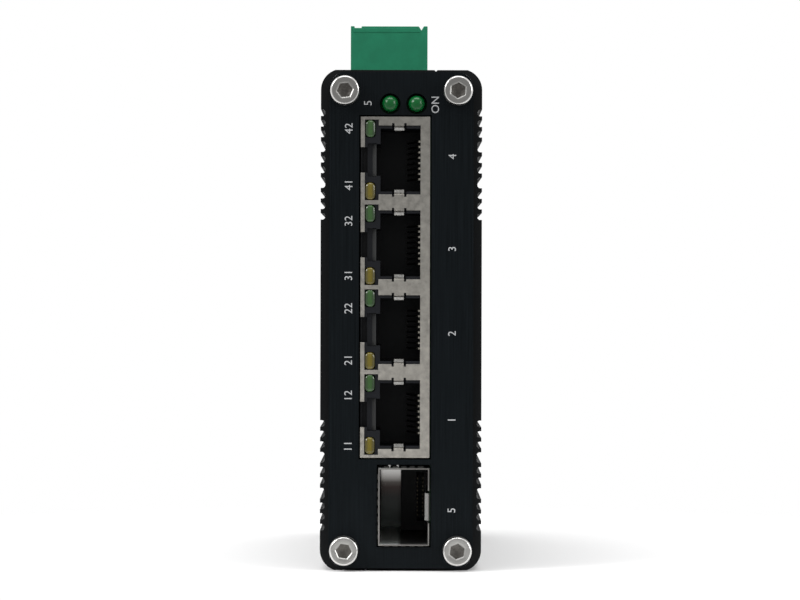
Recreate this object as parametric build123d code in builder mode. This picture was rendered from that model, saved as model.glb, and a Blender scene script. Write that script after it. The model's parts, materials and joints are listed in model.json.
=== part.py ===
import os

from build123d import *

os.makedirs("parts", exist_ok=True)

# A small finned network switch that feeds power over its four cable ports.
# Millimetres. X points right seen from the front, Y to the back, Z up.
# The origin is the middle of the bottom face. Heights are counted from the
# middle of the housing, which is half of housing_height above the origin.

# Housing: two identical extruded shells that meet in a seam on the top and one on the bottom
housing_width = 30.5
housing_height = 94.6
housing_length = 96.0
side_wall = 2.25
flange_wall = 2.0
corner_radius = 4.0
corner_flat = 0.2
seam_x = 6.5
seam_bevel = 0.3
tongue_length = 1.0
tongue_thickness = 0.9
seam_gap = 0.1
port_x = 10.65
port_end_inset = 4.0
port_boss_radius = 3.1

# Cooling grooves: ten in each group, two groups on each side
groove_depth = 0.85
groove_corner = 0.55
narrow_groove = 1.25
wide_groove = 2.05
groove_group_drop = 17.9
narrow_steps = (1.0, 5.8, 7.8, 9.8)
wide_step = 3.4

# End panels
panel_width = 27.2
panel_end_inset = 0.5
panel_corner = 3.2
panel_thickness = 2.0
panel_fit = 0.3

# Screws with a hexagon socket, thread size 3
thread_radius = 1.5
thread_clearance = 0.05
hole_clearance = 0.1
screw_length = 8.0
cap_radius = 2.75
cap_height = 3.0
cap_chamfer = 0.35
tip_chamfer = 0.4
hex_across_flats = 2.5
hex_depth = 1.6
front_hex_turns = (4, 26, -6, 21)
rear_hex_turns = (12, -9, 28, 2)

# Circuit board, upright, held in the rib pairs of the shells
board_face_x = 5.4
board_thickness = 1.6
board_length = 92.0
board_edge_gap = 0.1
rib_width = 1.4
rib_height = 2.0
rib_gap = 0.1

# Ganged jacks under one shield, as many as there is room for between the lights and the cage
lights_to_jacks = 0.5
hole_web = 0.8
jack_rise = 13.05
jack_depth = 21.3
jack_proud = 0.1
shield_sheet = 0.25
shield_gap = 0.05
opening_low_x = -4.28
opening_high_x = 3.62
opening_height = 13.0
window_low_x = -6.9
window_height = 15.2
window_web = 0.8
shield_end_band = 0.55
latch_notch_height = 4.8
latch_notch_depth = 2.5
tab_width = 1.85
tab_x = -0.4
tab_nick = 0.45
tab_length = 3.2
tab_crest = 0.35
tab_fold_depth = 0.9
tab_crest_depth = 1.35
tab_pocket_extra = 0.8
cavity_height = 11.9
cavity_low_x = -3.95
cavity_floor_x = 3.7
cavity_depth = 15.0
latch_recess_height = 6.0
latch_recess_low_x = -4.7
latch_ledge_height = 6.3
latch_ledge_low_x = -6.4
latch_ledge_depth = 1.0
contact_count = 8
contact_pitch = 1.016
contact_wire = 0.35
contact_slot = 0.6
contact_slot_depth = 0.75
contact_slot_start = 1.2
contact_nose_depth = 1.9
contact_tip_depth = 10.5
contact_end_depth = 13.5
contact_tip_x = 1.3
contact_bend = 0.28
lens_x = -5.87
lens_size = 3.2
lens_to_window = 0.1
lens_width = 1.9
lens_depth = 4.0
lens_corner = 0.6
lens_gap = 0.05

# Cage for a plug-in optical module
cage_rise = 9.6
cage_width = 14.6
cage_length = 48.8
cage_proud = 0.6
cage_sheet = 0.25
cage_floor = 4.8
cage_vent_radius = 1.1
cage_vent_pitch = 5.0
cage_vent_count = 7
cage_vent_back_gap = 6.0
latch_width = 5.1
latch_length = 9.4
latch_rise = 0.62
latch_gap = 0.5
latch_root_span = 2.35
latch_lip = 1.0
latch_bend = 0.5
finger_width = 1.0
finger_pitch = 1.6
finger_sheet = 0.15
finger_reach = 3.6
finger_play = 0.03
collar_band = 1.2
cage_opening_gap = 0.3
cage_opening_top_gap = 0.65
socket_rise = 5.3
socket_width = 13.4
socket_depth = 8.6
socket_back_gap = 7.0
card_slot_width = 9.6
card_slot_rise = 1.3
card_slot_x = 3.9
card_slot_depth = 6.0
card_contact_count = 10
card_contact_pitch = 0.8
card_contact_width = 0.35
card_contact_sheet = 0.2

# Two status lights in a right-angle holder
light_radius = 1.5
light_flange_radius = 1.9
light_flange = 1.0
light_length = 5.3
light_proud = 1.3
light_low_x = 2.85
light_step = 5.0
light_drop = 6.5
light_hole_radius = 1.95
light_gap = 0.1
holder_height = 4.6
holder_wall = 0.7
holder_setback = 0.2
holder_depth = 5.6

# Power header and the screw plug in it
pole_count = 4
pole_pitch = 5.08
header_rise = 8.6
header_wall = 1.0
header_stand = 0.3
header_depth = 12.0
header_floor = 1.2
header_window_gap = 0.5
pin_size = 1.0
pin_reach = 2.0
pin_bend_drop = 1.4
pin_rise = 8.2
pin_bend = 0.7
pin_hole_radius = 0.85
pin_fit = 0.05
plug_high_x = 5.2
plug_across = 15.4
plug_rise = 11.1
tongue_rise = 7.2
plug_gap = 0.15
plug_post = 0.75
plug_shoulder = 1.4
plug_shoulder_depth = 0.35
plug_key_width = 1.0
plug_key_depth = 0.85
plug_end_step = 0.3
plug_end_step_height = 0.95
wire_entry = 3.3
wire_entry_x = -1.6
clamp_rise = 5.6
clamp_width = 4.2
clamp_height = 5.2
clamp_wall = 0.7
clamp_lid = 1.9
clamp_gap = 0.1
clamp_screw_radius = 1.8
clamp_thread_radius = 1.3
clamp_head = 1.9
clamp_head_recess = 1.0
clamp_slot = 0.6
clamp_grip = 0.5
pin_entry = 2.0

# Rail clip: hooks over a 35 mm top-hat rail
rail_height = 35.0
rail_middle_height = 3.2
clip_width = 24.0
clip_plate = 2.5
clip_slot = 1.5
clip_lip = 1.8
clip_roof = 2.2
clip_spring_room = 3.6
upper_overlap = 1.1
lower_overlap = 2.0
clip_corner = 0.9
clip_lead_in = 0.5
clip_screw_spacing = 20.0
clip_screw_length = 5.0
clip_head_radius = 2.9
clip_hex_across_flats = 2.0
clip_hex_depth = 1.1
spring_strip = 0.5
spring_span = 20.0
spring_tab = 0.7
spring_play = 0.1
spring_bend = 0.5
spring_bow_bend = 6.5
spring_flat = 8.0

# Parts on the board
chip_size = 14.0
chip_thickness = 1.4
chip_y = -12.0
chip_height = -2.0
pad_size = 13.0
pad_corner = 0.5
transformer_length = 15.0
transformer_width = 7.2
transformer_rise = 5.6
transformer_gap = 1.2
transformer_chamfer = 0.5
controller_size = 8.0
controller_rise = 0.9
controller_y = 2.0
controller_height = 18.0
coil_size = 12.0
coil_rise = 6.5
coil_core_radius = 4.6
coil_corner = 2.5
coil_ring = 0.4
coil_ring_depth = 3.0
coil_y = 20.0
coil_heights = (14.0, -1.0, -16.0)
can_radius = 4.0
can_rise = 11.5
can_groove = 0.4
can_groove_rise = 2.0
can_y = 36.0
can_heights = (24.0, 14.0, 4.0)
crystal_length = 11.0
crystal_width = 4.6
crystal_rise = 3.4
crystal_y = 6.0
crystal_height = -10.0

middle_z = housing_height / 2
panel_height = housing_height - 2 * panel_end_inset
port_height = housing_height / 2 - port_end_inset
groove_group_height = housing_height / 2 - groove_group_drop
inner_x = housing_width / 2 - side_wall
inner_height = housing_height / 2 - flange_wall
tube_front = -housing_length / 2
tube_back = housing_length / 2
front_face = tube_front - panel_thickness
rear_face = tube_back + panel_thickness
port_spots = [(x, h) for h in (port_height, -port_height) for x in (-port_x, port_x)]
screw_hole_radius = thread_radius + thread_clearance
clear_hole_radius = thread_radius + hole_clearance


def front_plane(y):
    """Upright plane at depth y: X and height across it, and it extrudes to the front."""
    return Plane((0, y, middle_z), x_dir=(1, 0, 0), z_dir=(0, -1, 0))


def back_plane(y):
    """The same plane seen from behind: it extrudes to the back, and X runs the other way."""
    return Plane((0, y, middle_z), x_dir=(-1, 0, 0), z_dir=(0, 1, 0))


def side_plane(x):
    """Upright plane at x: depth and height across it, and it extrudes to the right."""
    return Plane((x, 0, middle_z), x_dir=(0, 1, 0), z_dir=(1, 0, 0))


def left_plane(x):
    """The same plane seen from the left: it extrudes to the left, and depth runs the other way."""
    return Plane((x, 0, middle_z), x_dir=(0, -1, 0), z_dir=(-1, 0, 0))


def level_plane(height):
    """Level plane at a height above the housing's middle: it extrudes upwards."""
    return Plane((0, 0, middle_z + height))


def span(low, high):
    """Middle and length of a stretch, for a rectangle that runs from low to high."""
    return (low + high) / 2, high - low


def row(count, pitch):
    """Places of a row of equal steps, centred on zero."""
    return [(i - (count - 1) / 2) * pitch for i in range(count)]


def finish(piece, name):
    """Label a finished piece and write it."""
    piece.part.label = name
    export_step(piece.part, f"parts/{name}.step")


# Shells
narrow_spots = []
wide_spots = []
for side in (-1, 1):
    for group in (-1, 1):
        for step in narrow_steps:
            for sign in (-1, 1):
                height = group * groove_group_height + sign * step
                narrow_spots.append((side * housing_width / 2, height))
        for sign in (-1, 1):
            height = group * groove_group_height + sign * wide_step
            wide_spots.append((side * housing_width / 2, height))

board_middle_x = board_face_x + board_thickness / 2
rib_offset = board_thickness / 2 + rib_gap + rib_width / 2
inner_rib_x = board_middle_x - rib_offset
outer_rib_x = board_middle_x + rib_offset
rib_level = inner_height - rib_height / 2
rib_spots = [
    (inner_rib_x, rib_level),
    (-inner_rib_x, rib_level),
    (-outer_rib_x, rib_level),
    (-outer_rib_x, -rib_level),
]

with BuildSketch() as shell_section:
    RectangleRounded(housing_width, housing_height + 2 * corner_flat, corner_radius)
    Rectangle(housing_width, housing_height, mode=Mode.INTERSECT)
    with Locations(*narrow_spots):
        RectangleRounded(2 * groove_depth, narrow_groove, groove_corner, mode=Mode.SUBTRACT)
    with Locations(*wide_spots):
        RectangleRounded(2 * groove_depth, wide_groove, groove_corner, mode=Mode.SUBTRACT)
    Rectangle(2 * inner_x, 2 * inner_height, mode=Mode.SUBTRACT)
    with Locations(*port_spots):
        Circle(port_boss_radius)
    # What lies beyond the two seams belongs to the other shell
    top_x, top_width = span(seam_x, housing_width)
    with Locations((top_x, housing_height / 2)):
        Rectangle(top_width, housing_height, mode=Mode.SUBTRACT)
    low_x, low_width = span(-seam_x, housing_width)
    with Locations((low_x, -housing_height / 2)):
        Rectangle(low_width, housing_height, mode=Mode.SUBTRACT)
    with Locations(*rib_spots):
        Rectangle(rib_width, rib_height)
    # The long flange is rebated inside, and the short one carries the tongue that fits there
    with Locations((seam_x, inner_height)):
        Rectangle(2 * (tongue_length + seam_gap), 2 * (tongue_thickness + seam_gap), mode=Mode.SUBTRACT)
    tongue_x, tongue_span = span(-seam_x - tongue_length, -seam_x + tongue_length)
    with Locations((tongue_x, -inner_height - tongue_thickness / 2)):
        Rectangle(tongue_span, tongue_thickness)
    with Locations((seam_x, housing_height / 2), (-seam_x, -housing_height / 2)):
        RegularPolygon(seam_bevel, 4, mode=Mode.SUBTRACT)
    with Locations(*port_spots[:1], *port_spots[2:3]):
        Circle(screw_hole_radius, mode=Mode.SUBTRACT)

header_half = pole_count * pole_pitch / 2 + header_wall - plug_gap
header_low_x = board_face_x - header_rise
window_half = header_half + header_window_gap
window_x, window_span = span(header_low_x - header_window_gap, housing_width / 2)

with BuildPart() as left_shell:
    with BuildSketch(front_plane(tube_back)):
        add(shell_section.sketch)
    extrude(amount=housing_length)
    with BuildSketch(level_plane(inner_height - rib_height)):
        with Locations((window_x, 0)):
            Rectangle(window_span, 2 * window_half)
    extrude(amount=flange_wall + rib_height, mode=Mode.SUBTRACT)
finish(left_shell, "left_shell")

with BuildPart() as right_shell:
    with BuildSketch(front_plane(tube_back)):
        add(shell_section.sketch, rotation=180)
    extrude(amount=housing_length)
finish(right_shell, "right_shell")

# Panels: the lights keep their distance from the top edge and the cage from the bottom edge
light_height = housing_height / 2 - light_drop
cage_bottom = cage_floor - housing_height / 2
cage_top = cage_bottom + cage_width
cage_middle_height = cage_bottom + cage_width / 2
jack_pitch = window_height + window_web
jack_end = window_height / 2 + shield_end_band
jack_top = light_height - light_hole_radius - lights_to_jacks
jack_room = jack_top - cage_top - cage_opening_top_gap - hole_web - panel_fit
jack_count = 1 + int((jack_room - 2 * jack_end) / jack_pitch)
jack_half = jack_pitch * (jack_count - 1) / 2 + jack_end
jack_middle_height = jack_top - jack_half
lens_height = window_height / 2 - lens_to_window - lens_size / 2
jack_low_x = board_face_x - jack_rise
jack_front = front_face - jack_proud
jack_back = jack_front + jack_depth
jack_heights = [jack_middle_height + step for step in row(jack_count, jack_pitch)]
cage_low_x = board_face_x - cage_rise
cage_front = front_face - cage_proud
cage_back = cage_front + cage_length
light_spots = [(light_low_x, light_height), (light_low_x - light_step, light_height)]
clip_screw_spots = [(0, rail_middle_height + step) for step in row(2, clip_screw_spacing)]

with BuildPart() as front_panel:
    with BuildSketch(front_plane(tube_front)):
        RectangleRounded(panel_width, panel_height, panel_corner)
        with Locations(*port_spots):
            Circle(clear_hole_radius, mode=Mode.SUBTRACT)
        with Locations(*light_spots):
            Circle(light_hole_radius, mode=Mode.SUBTRACT)
        jack_x, jack_width = span(jack_low_x, board_face_x)
        with Locations((jack_x, jack_middle_height)):
            Rectangle(jack_width + 2 * panel_fit, 2 * (jack_half + panel_fit), mode=Mode.SUBTRACT)
        cage_x, cage_height = span(cage_low_x, board_face_x)
        hole_height, hole_span = span(cage_bottom - cage_opening_gap, cage_top + cage_opening_top_gap)
        with Locations((cage_x, hole_height)):
            Rectangle(cage_height + 2 * cage_opening_gap, hole_span, mode=Mode.SUBTRACT)
    extrude(amount=panel_thickness)
finish(front_panel, "front_panel")

with BuildPart() as rear_panel:
    with BuildSketch(front_plane(rear_face)):
        RectangleRounded(panel_width, panel_height, panel_corner)
        with Locations(*port_spots):
            Circle(clear_hole_radius, mode=Mode.SUBTRACT)
        with Locations(*clip_screw_spots):
            Circle(screw_hole_radius, mode=Mode.SUBTRACT)
    extrude(amount=panel_thickness)
finish(rear_panel, "rear_panel")


def rim(piece, y):
    """The round edges of a piece that lie at depth y."""
    return piece.edges().filter_by(GeomType.CIRCLE).filter_by_position(Axis.Y, y - 0.01, y + 0.01)


def cap_screws(face, turns):
    """Four socket cap screws on a panel's face, each with its own turn of the hexagon."""
    outward = face.z_dir.Y
    with BuildPart() as screws:
        with BuildSketch(face):
            with Locations(*port_spots):
                Circle(cap_radius)
        extrude(amount=cap_height)
        chamfer(rim(screws, face.origin.Y + outward * cap_height), cap_chamfer)
        with BuildSketch(face.offset(cap_height)):
            for spot, turn in zip(port_spots, turns):
                with Locations(spot):
                    RegularPolygon(hex_across_flats / 2, 6, major_radius=False, rotation=turn)
        extrude(amount=-hex_depth, mode=Mode.SUBTRACT)
        with BuildSketch(face):
            with Locations(*port_spots):
                Circle(thread_radius)
        extrude(amount=-screw_length)
        chamfer(rim(screws, face.origin.Y - outward * screw_length), tip_chamfer)
    return screws


finish(cap_screws(front_plane(front_face), front_hex_turns), "front_screws")
finish(cap_screws(back_plane(rear_face), rear_hex_turns), "rear_screws")

# Rail clip: one profile with an upper and a lower hook, and a bowed spring in the upper one
rail_top = rail_middle_height + rail_height / 2
rail_low = rail_middle_height - rail_height / 2
clip_back = rear_face + clip_plate
lip_front = clip_back + clip_slot
lip_back = lip_front + clip_lip
slot_top = rail_top + clip_spring_room
clip_top = slot_top + clip_roof
clip_bottom = rail_low - clip_roof

with BuildPart() as rail_clip:
    with BuildSketch(side_plane(-clip_width / 2)) as clip_profile:
        with BuildLine():
            Polyline(
                (rear_face, clip_bottom),
                (lip_back, clip_bottom),
                (lip_back, rail_low + lower_overlap),
                (lip_front, rail_low + lower_overlap),
                (lip_front, rail_low),
                (clip_back, rail_low),
                (clip_back, slot_top),
                (lip_front, slot_top),
                (lip_front, rail_top - upper_overlap),
                (lip_back, rail_top - upper_overlap),
                (lip_back, clip_top),
                (rear_face, clip_top),
                close=True,
            )
        make_face()
        lips = clip_profile.vertices().filter_by_position(Axis.X, lip_back - 0.01, lip_back + 0.01)
        corners = lips.sort_by(Axis.Y)
        fillet([corners[0], corners[-1]], clip_corner)
        chamfer(corners[1:-1], clip_lead_in)
    extrude(amount=clip_width)
    with Locations(back_plane(clip_back)):
        with Locations(*clip_screw_spots):
            CounterSinkHole(clear_hole_radius, clip_head_radius + hole_clearance, counter_sink_angle=90)
    # Pockets in the slot's roof for the spring's upturned ends
    slot_y, slot_width = span(clip_back, lip_front)
    pocket = spring_strip + 2 * spring_play
    with BuildSketch(level_plane(slot_top)):
        with Locations((-spring_span / 2, slot_y), (spring_span / 2, slot_y)):
            Rectangle(pocket, slot_width)
    extrude(amount=spring_tab + spring_play, mode=Mode.SUBTRACT)
finish(rail_clip, "rail_clip")

with BuildPart() as rail_spring:
    with BuildSketch(front_plane(lip_front - spring_play)):
        with BuildLine():
            shoulder_height = slot_top - spring_strip / 2 - spring_play
            low_height = rail_top + spring_strip / 2 + spring_play
            FilletPolyline(
                (-spring_span / 2, slot_top + spring_tab),
                (-spring_span / 2, shoulder_height),
                (-spring_flat / 2, low_height),
                (spring_flat / 2, low_height),
                (spring_span / 2, shoulder_height),
                (spring_span / 2, slot_top + spring_tab),
                radius=(spring_bend, spring_bow_bend, spring_bow_bend, spring_bend),
            )
        trace(line_width=spring_strip)
    extrude(amount=clip_slot - 2 * spring_play)
finish(rail_spring, "rail_spring")

with BuildPart() as clip_screws:
    for spot_x, spot_height in clip_screw_spots:
        with BuildSketch(side_plane(spot_x)):
            with BuildLine():
                tip_y = clip_back - clip_screw_length
                Polyline(
                    (clip_back, spot_height),
                    (clip_back, spot_height + clip_head_radius),
                    (clip_back - (clip_head_radius - thread_radius), spot_height + thread_radius),
                    (tip_y + tip_chamfer, spot_height + thread_radius),
                    (tip_y, spot_height + thread_radius - tip_chamfer),
                    (tip_y, spot_height),
                    close=True,
                )
            make_face()
        revolve(axis=Axis((spot_x, clip_back, middle_z + spot_height), (0, 1, 0)))
    with BuildSketch(back_plane(clip_back)):
        with Locations(*clip_screw_spots):
            RegularPolygon(clip_hex_across_flats / 2, 6, major_radius=False)
    extrude(amount=-clip_hex_depth, mode=Mode.SUBTRACT)
finish(clip_screws, "clip_screws")

# Circuit board
header_mouth = housing_height / 2 + header_stand
header_bottom = header_mouth - header_depth
pin_height = header_bottom - pin_bend_drop
pin_x = board_face_x - header_rise / 2
pole_spots = row(pole_count, pole_pitch)
board_back_x = board_face_x + board_thickness

with BuildPart() as main_board:
    with BuildSketch(side_plane(board_face_x)):
        Rectangle(board_length, 2 * (inner_height - board_edge_gap))
        with Locations(*[(y, pin_height) for y in pole_spots]):
            Circle(pin_hole_radius, mode=Mode.SUBTRACT)
    extrude(amount=board_thickness)
finish(main_board, "main_board")

# Jack shield: a folded box, open towards the board
opening_x, opening_width = span(opening_low_x, opening_high_x)
window_strip_x, window_strip = span(window_low_x, opening_low_x)
opening_half = opening_height / 2
cavity_half = cavity_height / 2
shield_face_y = jack_front + shield_sheet / 2
fold = 2 * shield_sheet

with BuildPart() as jack_shield:
    with BuildSketch(front_plane(jack_back)):
        with Locations((jack_x, jack_middle_height)):
            Rectangle(jack_width, 2 * jack_half)
    extrude(amount=jack_depth)
    with BuildSketch(front_plane(jack_back - shield_sheet)):
        with Locations((jack_x + shield_sheet, jack_middle_height)):
            Rectangle(jack_width, 2 * (jack_half - shield_sheet))
    extrude(amount=jack_depth - 2 * shield_sheet, mode=Mode.SUBTRACT)
    with BuildSketch(front_plane(jack_front + shield_sheet)):
        for height in jack_heights:
            with Locations((opening_x, height)):
                Rectangle(opening_width, opening_height)
            with Locations((window_strip_x, height)):
                Rectangle(window_strip, window_height)
            nick_x = (tab_width + tab_nick) / 2
            for sign in (-1, 1):
                edge = height + sign * opening_half
                with Locations((tab_x - nick_x, edge), (tab_x + nick_x, edge)):
                    Rectangle(tab_nick, 2 * tab_nick)
    extrude(amount=shield_sheet, mode=Mode.SUBTRACT)
    with BuildSketch(front_plane(jack_front + latch_notch_depth)):
        notch_x, notch_width = span(jack_low_x, window_low_x)
        with Locations(*[(notch_x, height) for height in jack_heights]):
            Rectangle(notch_width, latch_notch_height)
    extrude(amount=latch_notch_depth, mode=Mode.SUBTRACT)
    # Sprung tabs fold in from the middle of each opening's upper and lower edge
    with BuildSketch(side_plane(tab_x - tab_width / 2)):
        for height in jack_heights:
            for sign in (-1, 1):
                with BuildLine():
                    FilletPolyline(
                        (shield_face_y, height + sign * (opening_half + 2 * fold)),
                        (shield_face_y, height + sign * opening_half),
                        (shield_face_y + tab_fold_depth, height + sign * (opening_half - shield_sheet)),
                        (shield_face_y + tab_crest_depth, height + sign * (cavity_half - tab_crest)),
                        (shield_face_y + tab_length, height + sign * cavity_half),
                        radius=shield_sheet,
                    )
                trace(line_width=shield_sheet)
    extrude(amount=tab_width)
finish(jack_shield, "jack_shield")

# Jack body: the insulator of all four jacks, in one piece
body_front = jack_front + shield_sheet + shield_gap
body_back = jack_back - shield_sheet - shield_gap
body_x, body_width = span(jack_low_x + shield_sheet + shield_gap, board_face_x - shield_gap)
cavity_x, cavity_width = span(cavity_low_x, cavity_floor_x)
recess_x, recess_width = span(latch_recess_low_x, cavity_low_x)
tab_pocket = tab_width + 2 * tab_nick
tab_pocket_depth = tab_length + tab_nick
slot_x, slot_span = span(cavity_floor_x, cavity_floor_x + contact_slot_depth)
slot_start = body_front + contact_slot_start
contact_steps = row(contact_count, contact_pitch)

with BuildPart() as jack_body:
    with BuildSketch(front_plane(body_back)):
        with Locations((body_x, jack_middle_height)):
            Rectangle(body_width, 2 * (jack_half - shield_sheet - shield_gap))
    extrude(amount=body_back - body_front)
    with BuildSketch(front_plane(body_front + cavity_depth)):
        with Locations(*[(cavity_x, height) for height in jack_heights]):
            Rectangle(cavity_width, cavity_height)
        with Locations(*[(recess_x, height) for height in jack_heights]):
            Rectangle(recess_width, latch_recess_height)
    extrude(amount=cavity_depth, mode=Mode.SUBTRACT)
    with BuildSketch(front_plane(body_front + tab_pocket_depth)):
        with Locations(*[(tab_x, height) for height in jack_heights]):
            Rectangle(tab_pocket, cavity_height + 2 * tab_pocket_extra)
    extrude(amount=tab_pocket_depth, mode=Mode.SUBTRACT)
    with BuildSketch(front_plane(body_front + latch_notch_depth)):
        notch_x, notch_width = span(jack_low_x, latch_ledge_low_x)
        with Locations(*[(notch_x, height) for height in jack_heights]):
            Rectangle(notch_width, latch_notch_height)
    extrude(amount=latch_notch_depth, mode=Mode.SUBTRACT)
    with BuildSketch(front_plane(body_front + latch_ledge_depth)):
        ledge_x, ledge_width = span(latch_ledge_low_x, latch_recess_low_x)
        with Locations(*[(ledge_x, height) for height in jack_heights]):
            Rectangle(ledge_width, latch_ledge_height)
    extrude(amount=latch_ledge_depth, mode=Mode.SUBTRACT)
    with BuildSketch(front_plane(body_front + cavity_depth)):
        with Locations(*[(slot_x, height + step) for height in jack_heights for step in contact_steps]):
            Rectangle(slot_span, contact_slot)
    extrude(amount=body_front + cavity_depth - slot_start, mode=Mode.SUBTRACT)
    with BuildSketch(front_plane(body_front + lens_depth + lens_gap)):
        with Locations(*[(lens_x, height + s * lens_height) for height in jack_heights for s in (-1, 1)]):
            RectangleRounded(lens_width + 2 * lens_gap, lens_size + 2 * lens_gap, lens_corner)
    extrude(amount=lens_depth + lens_gap, mode=Mode.SUBTRACT)
finish(jack_body, "jack_body")

# Eight sprung contacts in each jack
contact_floor_x = cavity_floor_x + contact_slot_depth - contact_wire / 2 - shield_gap
contact_nose_x = cavity_floor_x - contact_wire
contact_nose_y = body_front + contact_nose_depth
contact_tip_y = body_front + contact_tip_depth
contact_end_y = body_front + contact_end_depth

for number, height in enumerate(jack_heights, start=1):
    with BuildPart() as contacts:
        for step in contact_steps:
            with BuildSketch(level_plane(height + step - contact_wire / 2)):
                with BuildLine():
                    FilletPolyline(
                        (contact_tip_x, contact_tip_y),
                        (contact_nose_x, contact_nose_y),
                        (contact_floor_x, contact_nose_y),
                        (contact_floor_x, contact_end_y),
                        radius=contact_bend,
                    )
                trace(line_width=contact_wire)
            extrude(amount=contact_wire)
    finish(contacts, f"jack_contacts_{number}")

# Light windows beside the latches, one at each end of every jack
for sign, name in ((1, "jack_green_lights"), (-1, "jack_yellow_lights")):
    with BuildPart() as lights:
        with BuildSketch(front_plane(body_front + lens_depth)):
            with Locations(*[(lens_x, height + sign * lens_height) for height in jack_heights]):
                RectangleRounded(lens_width, lens_size, lens_corner)
        extrude(amount=lens_depth)
    finish(lights, name)

# Module cage: a folded box, open at the front, with a sprung latch in the wall on the board
socket_back = cage_back - cage_sheet - socket_back_gap
socket_front = socket_back - socket_depth
latch_root = cage_front + latch_length
cage_wall_x = board_face_x - cage_sheet / 2
last_vent_y = cage_back - cage_vent_back_gap
vent_spots = [(step * cage_vent_pitch - last_vent_y, cage_middle_height) for step in range(cage_vent_count)]

with BuildPart() as sfp_cage:
    with BuildSketch(front_plane(cage_back)):
        with Locations((cage_x, cage_middle_height)):
            Rectangle(cage_rise, cage_width)
    extrude(amount=cage_length)
    with BuildSketch(front_plane(cage_back - cage_sheet)):
        with Locations((cage_x, cage_middle_height)):
            Rectangle(cage_rise - 2 * cage_sheet, cage_width - 2 * cage_sheet)
    extrude(amount=cage_length - cage_sheet, mode=Mode.SUBTRACT)
    with BuildSketch(side_plane(board_face_x - cage_sheet)):
        slot_middle, slot_length = span(socket_front - latch_gap, socket_back + latch_gap)
        with Locations((slot_middle, cage_middle_height)):
            Rectangle(slot_length, socket_width + 2 * shield_gap)
        latch_middle, latch_span = span(cage_front, latch_root)
        with Locations((latch_middle, cage_middle_height)):
            Rectangle(latch_span, latch_width + 2 * latch_gap)
    extrude(amount=cage_sheet, mode=Mode.SUBTRACT)
    with BuildSketch(left_plane(cage_low_x)):
        with Locations(*vent_spots):
            Circle(cage_vent_radius)
    extrude(amount=-cage_sheet, mode=Mode.SUBTRACT)
    with BuildSketch(level_plane(cage_middle_height - latch_width / 2)):
        with BuildLine():
            FilletPolyline(
                (cage_wall_x, latch_root + 2 * cage_sheet),
                (cage_wall_x, latch_root - latch_root_span),
                (cage_wall_x - latch_rise, cage_front + latch_lip + cage_sheet),
                (cage_wall_x, cage_front + cage_sheet / 2),
                radius=latch_bend,
            )
        trace(line_width=cage_sheet)
    extrude(amount=latch_width)
finish(sfp_cage, "sfp_cage")

# Spring fingers round the cage's mouth, cut from one strip
band_front = cage_front + finger_reach
finger_tip = cage_front + 2 * finger_sheet
top_rise = cage_opening_top_gap - finger_sheet - finger_play
side_rise = cage_opening_gap - finger_sheet - finger_play


def finger_path(flip, rise):
    """Centre line of a finger along a wall: from the band forwards, bowed out by rise."""
    skin = finger_sheet / 2 + finger_play / 3
    points = [
        (band_front + finger_sheet, skin),
        (band_front - 2 * finger_sheet, skin),
        (front_face + panel_thickness / 2, skin + rise),
        (finger_tip, skin),
    ]
    return [flip(along, out) for along, out in points]


long_side_fingers = int((cage_width - finger_width) / finger_pitch)
short_side_fingers = int((cage_rise - finger_width) / finger_pitch)

with BuildPart() as sfp_spring_collar:
    with BuildSketch(front_plane(band_front + collar_band)):
        skin = finger_play / 3
        band_x, band_rise = span(cage_low_x - skin - finger_sheet, board_face_x)
        with Locations((band_x, cage_middle_height)):
            Rectangle(band_rise, cage_width + 2 * (skin + finger_sheet))
        with Locations((band_x + finger_sheet, cage_middle_height)):
            Rectangle(band_rise, cage_width + 2 * skin, mode=Mode.SUBTRACT)
    extrude(amount=collar_band)
    for step in row(short_side_fingers, finger_pitch):
        with BuildSketch(side_plane(cage_x + step - finger_width / 2)):
            with BuildLine():
                FilletPolyline(
                    *finger_path(lambda along, out: (along, cage_top + out), top_rise),
                    radius=3 * finger_sheet,
                )
            trace(line_width=finger_sheet)
            with BuildLine():
                FilletPolyline(
                    *finger_path(lambda along, out: (along, cage_bottom - out), side_rise),
                    radius=3 * finger_sheet,
                )
            trace(line_width=finger_sheet)
        extrude(amount=finger_width)
    for step in row(long_side_fingers, finger_pitch):
        with BuildSketch(level_plane(cage_middle_height + step - finger_width / 2)):
            with BuildLine():
                FilletPolyline(
                    *finger_path(lambda along, out: (cage_low_x - out, along), side_rise),
                    radius=3 * finger_sheet,
                )
            trace(line_width=finger_sheet)
        extrude(amount=finger_width)
finish(sfp_spring_collar, "sfp_spring_collar")

# Edge connector at the back of the cage
with BuildPart() as sfp_socket:
    with BuildSketch(front_plane(socket_back)):
        with Locations((board_face_x - socket_rise / 2, cage_middle_height)):
            Rectangle(socket_rise, socket_width)
    extrude(amount=socket_depth)
    with BuildSketch(front_plane(socket_front + card_slot_depth)):
        with Locations((card_slot_x, cage_middle_height)):
            Rectangle(card_slot_rise, card_slot_width)
    extrude(amount=card_slot_depth, mode=Mode.SUBTRACT)
finish(sfp_socket, "sfp_socket")

with BuildPart() as sfp_contacts:
    contact_shift = (card_slot_rise - card_contact_sheet) / 2
    with BuildSketch(front_plane(socket_front + card_slot_depth)):
        for step in row(card_contact_count, card_contact_pitch):
            height = cage_middle_height + step
            with Locations((card_slot_x - contact_shift, height), (card_slot_x + contact_shift, height)):
                Rectangle(card_contact_sheet, card_contact_width)
    extrude(amount=card_slot_depth - card_contact_sheet)
finish(sfp_contacts, "sfp_contacts")

# Status lights in their holder, behind the panel
holder_front = tube_front + holder_setback
light_tip = front_face - light_proud
light_back = light_tip + light_length
holder_low_x = light_low_x - light_step - light_flange_radius - holder_wall

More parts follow.
